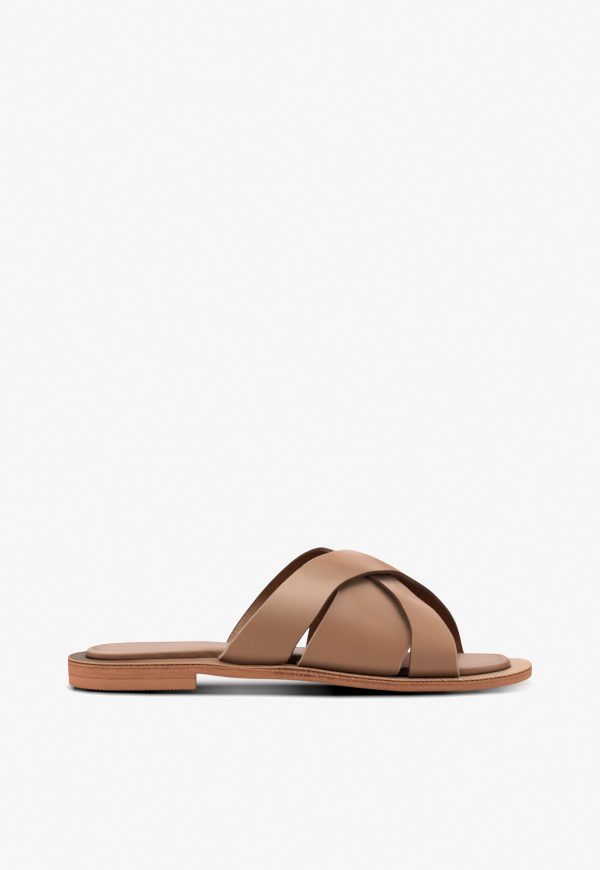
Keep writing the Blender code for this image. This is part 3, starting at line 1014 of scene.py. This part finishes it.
def pad_paint(ring, inset, share, wrinkle):
    """Painted shade and painted highlight of one ring of the pad's edge."""
    behind = climb(ring[:, 0], *BEHIND_RISE) * outer_share(ring)
    # Painted shade under the straps, on the side and deeper in its creases, along the pressed line and at
    # the foot
    under_strap_shade = between(ring[:, 0], *COVERED_BAND) * (ring[:, 1] < 0)
    under_strap_shade = COVERED_SHADE * between(share, *COVERED_HEIGHT_BAND) * under_strap_shade
    base, more_behind, more_creased = CREASE_SHADES
    side_shade = base + more_behind * behind + more_creased * np.clip(wrinkle, 0, 1)
    side_shade = between(share, *CREASE_HEIGHT_BAND) * side_shade
    base, more_behind = PRESSED_SHADES
    pressed_line_shade = (base + more_behind * behind) * between(inset, *PRESSED_BAND)
    contact_shade = FOOT_LINE_SHADE * np.clip(1 - share / FOOT_LINE_HEIGHT, 0, 1)
    dark = np.maximum(np.maximum(under_strap_shade, side_shade), np.maximum(pressed_line_shade, contact_shade))
    # Painted highlight along the top of the bead
    base, more_behind = BEAD_HIGHLIGHTS
    light = between(share, *BEAD_BAND) * (inset < BEAD_INSET) * (base + more_behind * behind)
    return dark, light


def add_insole(material):
    """Padded insole: rounded sides, wrinkled behind the straps, and a slightly dished top."""
    ring, normal, along = outline_ring(STATIONS)
    margin = at_stations(INSOLE, ring)
    rings = []
    paints = []
    for inset, share in INSOLE_EDGE:
        wrinkle = pad_wrinkles(ring, along + WRINKLE_SLANT * share)
        pull = WRINKLE_DEPTH * wrinkle * between(share, *WRINKLE_HEIGHT_BAND)
        flat = ring - normal * (margin + inset + pull)[:, None]
        rings.append(np.c_[flat, pad_height(flat[:, 0], share)])
        paints.append(pad_paint(ring, inset, share, wrinkle))
    edge_ring = rings[-1]
    centre = (edge_ring + edge_ring[::-1]) / 2
    plain = np.zeros(len(ring))
    for share in PAD_TOP_RINGS:
        inner = edge_ring + (centre - edge_ring) * share
        inner[:, 2] = pad_height(inner[:, 0], PAD_TOP - PAD_DISH * share)
        rings.append(inner)
        paints.append((plain, plain))
    dark, light = np.array(paints).swapaxes(0, 1)
    piece = ring_object("insole_pad", rings, [material], {"dark": dark, "light": light})
    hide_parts("insole")


# Upper


def strap_path():
    """Rows of a strap: its turn over the arch, and the bend and flange of its feet, outer foot first."""
    foot = [(1.0, FOOT_FLANGE * step / FLANGE_STEPS) for step in range(FLANGE_STEPS, 0, -1)]
    foot += [(step / FOOT_STEPS, 0.0) for step in range(FOOT_STEPS, 0, -1)]
    outer = [(0.0, bend, flange) for bend, flange in foot]
    arch = [(step / ARCH_STEPS, 0.0, 0.0) for step in range(ARCH_STEPS + 1)]
    inner = [(1.0, bend, flange) for bend, flange in foot[::-1]]
    return outer + arch + inner


def arch_points(x, turn, bend, flange):
    """Points of the upper's inner surface at stations x, for one row of the strap path."""
    outer, inner = sole_sides(x)
    outer = outer + WALL_INSET + WALL
    inner = inner - WALL_INSET - WALL
    spring = sole_top(x) + GAP + WALL + FOOT_BEND
    crest_z = through(ARCH, x, 1)
    side = np.sign(np.cos(np.pi * turn))
    shoulder = through(ARCH, x, 2) if side > 0 else INNER_FULLNESS
    roof = through(ARCH, x, 3) if side > 0 else INNER_FULLNESS
    reach = CREST_Y - outer if side > 0 else inner - CREST_Y
    height = np.sin(np.pi * turn) ** ARCH_POWER
    y = CREST_Y - side * np.clip(1 - height**shoulder, 0, 1) ** (1 / roof) * reach
    z = spring + (crest_z - spring) * height
    angle = np.pi / 2 * bend
    y = y + side * (FOOT_BEND * (1 - np.cos(angle)) + flange)
    z = z - FOOT_BEND * np.sin(angle)
    return np.stack([x, y, z], axis=-1)


def edge_point(edge, turn):
    """Point on the arch where a strap's edge is at a turn."""
    return arch_points(through(edge, np.array([turn]), 1), turn, 0, 0)[0]


def edge_x(edge, turn, bend):
    """x of a strap's edge. In the bend of a foot the edge keeps the slope that it comes down with."""
    x = through(edge, turn, 1)
    if bend == 0:
        return x
    higher = edge_point(edge, turn + SLOPE_TURN if turn < 0.5 else turn - SLOPE_TURN)
    lower = edge_point(edge, turn)
    slope = (higher[0] - lower[0]) / (higher[2] - lower[2])
    return x - slope * (FOOT_BEND + WALL) * np.sin(np.pi / 2 * bend)


def strap_lift(strap, turn):
    """Height of a strap above the arch where it passes over the others."""
    total = 0.0
    for rise, full, fall, end, height in strap["lifts"]:
        total += height * climb(turn, rise, full - rise) * climb(turn, end, fall - end)
    return total


def foot_low(turn, bend):
    """1 at the bottom of the outer foot, falling to 0 a little way up the strap."""
    if turn > 0.5:
        return 0.0
    return 1.0 if bend else 1 - climb(turn, 0, CURL_TURN)


def loop_columns(width):
    """One turn round a strap's section: share of the width and share of the thickness."""
    edge_in, edge_up = np.array(STRAP_EDGE).T
    edge_in = edge_in / width
    even = (1 - np.cos(np.pi * np.linspace(0, 1, FACE_COLUMNS))) / 2
    face = edge_in[0] + (1 - 2 * edge_in[0]) * even
    shares = np.concatenate([face, 1 - edge_in[1:-1], face[::-1], edge_in[::-1][1:-1]])
    ups = np.concatenate([np.ones(len(face)), edge_up[1:-1], np.zeros(len(face)), edge_up[::-1][1:-1]])
    return shares, ups


def strap_rim(strap, turn, distance, width, ups):
    """Paint of a strap's edges: on its outer half light rims of painted highlight, partly real burnish, and
    dark rims where negative; dark edges beyond the crest.
    """
    paint = np.zeros_like(distance)
    for share, away in zip(strap["rims"], (distance, width - distance)):
        high = climb(ups, *STRAP_RIM_HEIGHT_RISE) if share > 0 else 1
        paint += share * climb(away, *STRAP_RIM_RISE) * high
    dark = climb(np.minimum(distance, width - distance), *DARK_EDGE_RISE)
    return paint * climb(turn, *STRAP_RIM_END_RISE) - dark * climb(turn, *DARK_EDGE_START_RISE)


def strap_loops(strap, path):
    """Loop of points round a strap for each row of its path, and the paint of its rims."""
    edges = [np.c_[TURNS, strap[side]] for side in ("rear", "front")]
    ends = np.array([[edge_x(edge, turn, bend) for edge in edges] for turn, bend, _ in path])
    even = np.linspace(0, 1, COARSE_COLUMNS)
    coarse = [arch_points(rear + (front - rear) * even, *row) for (rear, front), row in zip(ends, path)]
    widths = np.linalg.norm(np.diff(coarse, axis=1), axis=2).sum(axis=1)
    along, across = np.gradient(np.array(coarse), axis=(0, 1))
    normals = unit(np.cross(across, along))
    loops = []
    rims = []
    for row, (rear, front), width, grid in zip(path, ends, widths, normals):
        turn, bend, _ = row
        shares, ups = loop_columns(width)
        base = arch_points(rear + (front - rear) * shares, *row)
        normal = unit(np.array([np.interp(shares, even, column) for column in grid.T]).T)
        loop = base + normal * (strap_lift(strap, turn) + WALL * ups)[:, None]
        curl = foot_low(turn, bend) * through(strap["curl"], shares, 1)
        loop[:, 0] += curl * strap["lean"] * shares**LEAN_POWER
        loop[:, 2] += curl
        loops.append(loop)
        rims.append(strap_rim(strap, turn, shares * width, width, ups))
    return np.array(loops), np.array(rims)


def strap_faces(rows, count):
    """Faces of a strap with its two ends, and the material of each: 0 face, 1 edge, 2 lining."""
    kind = np.ones(count, int)
    kind[: FACE_COLUMNS - 1] = 0
    lining = FACE_COLUMNS + len(STRAP_EDGE) - 2
    kind[lining : lining + FACE_COLUMNS - 1] = 2
    last = (rows - 1) * count
    ends = [list(range(count)), list(range(last + count - 1, last - 1, -1))]
    faces = loft_quads(rows, count)[:, ::-1].tolist() + ends
    return faces, np.tile(kind, rows - 1).tolist() + [1, 1]


def strap_painted_shade(strap, points):
    """Painted shade on the leather: beside the straps that lie over it, and just above its feet."""
    above_sole = points[:, 2] - sole_top(points[:, 0])
    shade = FOOT_SHADE * (1 - climb(above_sole, 0, FOOT_SHADE_HEIGHT)) * (points[:, 1] < 0)
    for name, side, first, depth, near, reach in strap["shades"]:
        edge = np.c_[TURNS, STRAPS[name][side]]
        distance = np.full(len(points), np.inf)
        for turn in np.linspace(first, SHADE_END_TURN, SHADE_POINTS):
            distance = np.minimum(distance, np.linalg.norm(points - edge_point(edge, turn), axis=1))
        shade = np.maximum(shade, depth * (1 - climb(distance, near, reach)))
    return shade


def add_strap(name, strap, materials):
    """Strap with a leather face, cut edges and a lining."""
    path = strap_path()
    loops, rims = strap_loops(strap, path)
    rows, count = rims.shape
    faces, kinds = strap_faces(rows, count)
    points = loops.reshape(-1, 3)
    turns = np.array([turn for turn, _, _ in path])
    paint = {
        "rim": rims.reshape(-1),
        # Where the lining is painted paler as if lit
        "pale": np.repeat(climb(turns, *strap["pale"]), count),
        # Painted highlight band by turn
        "sheen": np.repeat(through(strap["sheen"], turns, 1), count),
        "shade": strap_painted_shade(strap, points),
    }
    piece = mesh_object(name, points, faces, materials, paint, kinds)
    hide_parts("upper")


# Stage


def add_floor():
    corners = [(-1, -1), (1, -1), (1, 1), (-1, 1)]
    data = bpy.data.meshes.new("floor")
    data.from_pydata([(x * FLOOR_HALF, y * FLOOR_HALF, 0) for x, y in corners], [], [(0, 1, 2, 3)])
    data.materials.append(floor_paper())
    floor = add_object("floor", data)


def add_world():
    """Dim studio all round, seen by the camera as a plain pale backdrop."""
    world = bpy.data.worlds.new("studio")
    bpy.context.scene.world = world
    world.use_nodes = True
    tree = world.node_tree
    dim = tree.nodes["Background"]
    feed(tree, dim, Color=(*WHITE, 1), Strength=ROOM_LIGHT)
    pale = node(tree, "Background", Color=(*WHITE, 1), Strength=BACKDROP)
    seen = node(tree, "LightPath").outputs["Is Camera Ray"]
    both = node(tree, "MixShader")
    plug(tree, both.inputs, (seen, dim.outputs[0], pale.outputs[0]))
    feed(tree, tree.nodes["World Output"], Surface=both.outputs[0])


def direction(azimuth, elevation):
    """Unit vector from the sandal: azimuth 0 is towards its outer side, 90 towards its toe."""
    turn, tilt = np.radians((azimuth, elevation))
    level = np.cos(tilt)
    return Vector((np.sin(turn) * level, -np.cos(turn) * level, np.sin(tilt)))


def place_facing(name, data, location, way):
    """Adds a light or a camera that looks along the way."""
    made = add_object(name, data)
    made.location = location
    made.rotation_euler = way.to_track_quat("-Z", "Y").to_euler()
    return made


def add_light(name, azimuth, elevation, size, watts, glossy):
    """Soft box that faces the sandal."""
    data = bpy.data.lights.new(name, "AREA")
    data.shape = "SQUARE"
    data.size = size
    data.energy = watts
    way = direction(azimuth, elevation)
    lamp = place_facing(name, data, CAMERA_TARGET + way * LIGHT_DISTANCE, -way)
    lamp.visible_camera = False
    lamp.visible_glossy = glossy


def add_camera():
    """Camera turned so that its target falls on the target pixel."""
    back = direction(CAMERA_AZIMUTH, CAMERA_ELEVATION)
    right = (-back).cross(Vector((0, 0, 1))).normalized()
    up = right.cross(-back)
    aim = CAMERA_TARGET + right * ((IMAGE_SIZE[0] / 2 - TARGET_PIXEL[0]) / PIXELS_PER_METRE)
    aim = aim + up * ((TARGET_PIXEL[1] - IMAGE_SIZE[1] / 2) / PIXELS_PER_METRE)
    data = bpy.data.cameras.new("camera")
    data.sensor_width = SENSOR
    data.lens = SENSOR * PIXELS_PER_METRE * CAMERA_DISTANCE / IMAGE_SIZE[1]
    location = CAMERA_TARGET + back * CAMERA_DISTANCE
    bpy.context.scene.camera = place_facing("camera", data, location, aim - location)


def set_exposure():
    """Plain film with a white level just under full white."""
    view = bpy.context.scene.view_settings
    view.view_transform = "Standard"
    view.look = "None"
    view.use_curve_mapping = True
    curves = view.curve_mapping
    curves.extend = "HORIZONTAL"
    curve = curves.curves[COMBINED_CURVE]
    curve.points[1].location = (1.0, WHITE_LEVEL)
    curve.points.new(*CURVE_POINT)
    curves.update()


def main():
    side = sole_edge("sole_leather_edge", SOLE_TONES, roughness=0.5)
    heel = sole_edge("heel_rubber_edge", HEEL_TONES, roughness=0.65)
    add_midsole(side)
    add_outsole(side)
    add_heel_layer("heel_lift_leather", "heel_lift", LIFT_EDGE, side, False)
    add_heel_layer("heel_top_piece_rubber", "heel_top_piece", TOP_PIECE_EDGE, heel, True)
    add_insole(pad_leather())
    strap_materials = [strap_leather(), strap_edge(), strap_lining()]
    for name, strap in STRAPS.items():
        add_strap("strap_" + name, strap, strap_materials)
    add_floor()
    add_world()
    for name, values in LIGHTS.items():
        add_light(name, *values)
    add_camera()
    set_exposure()


main()
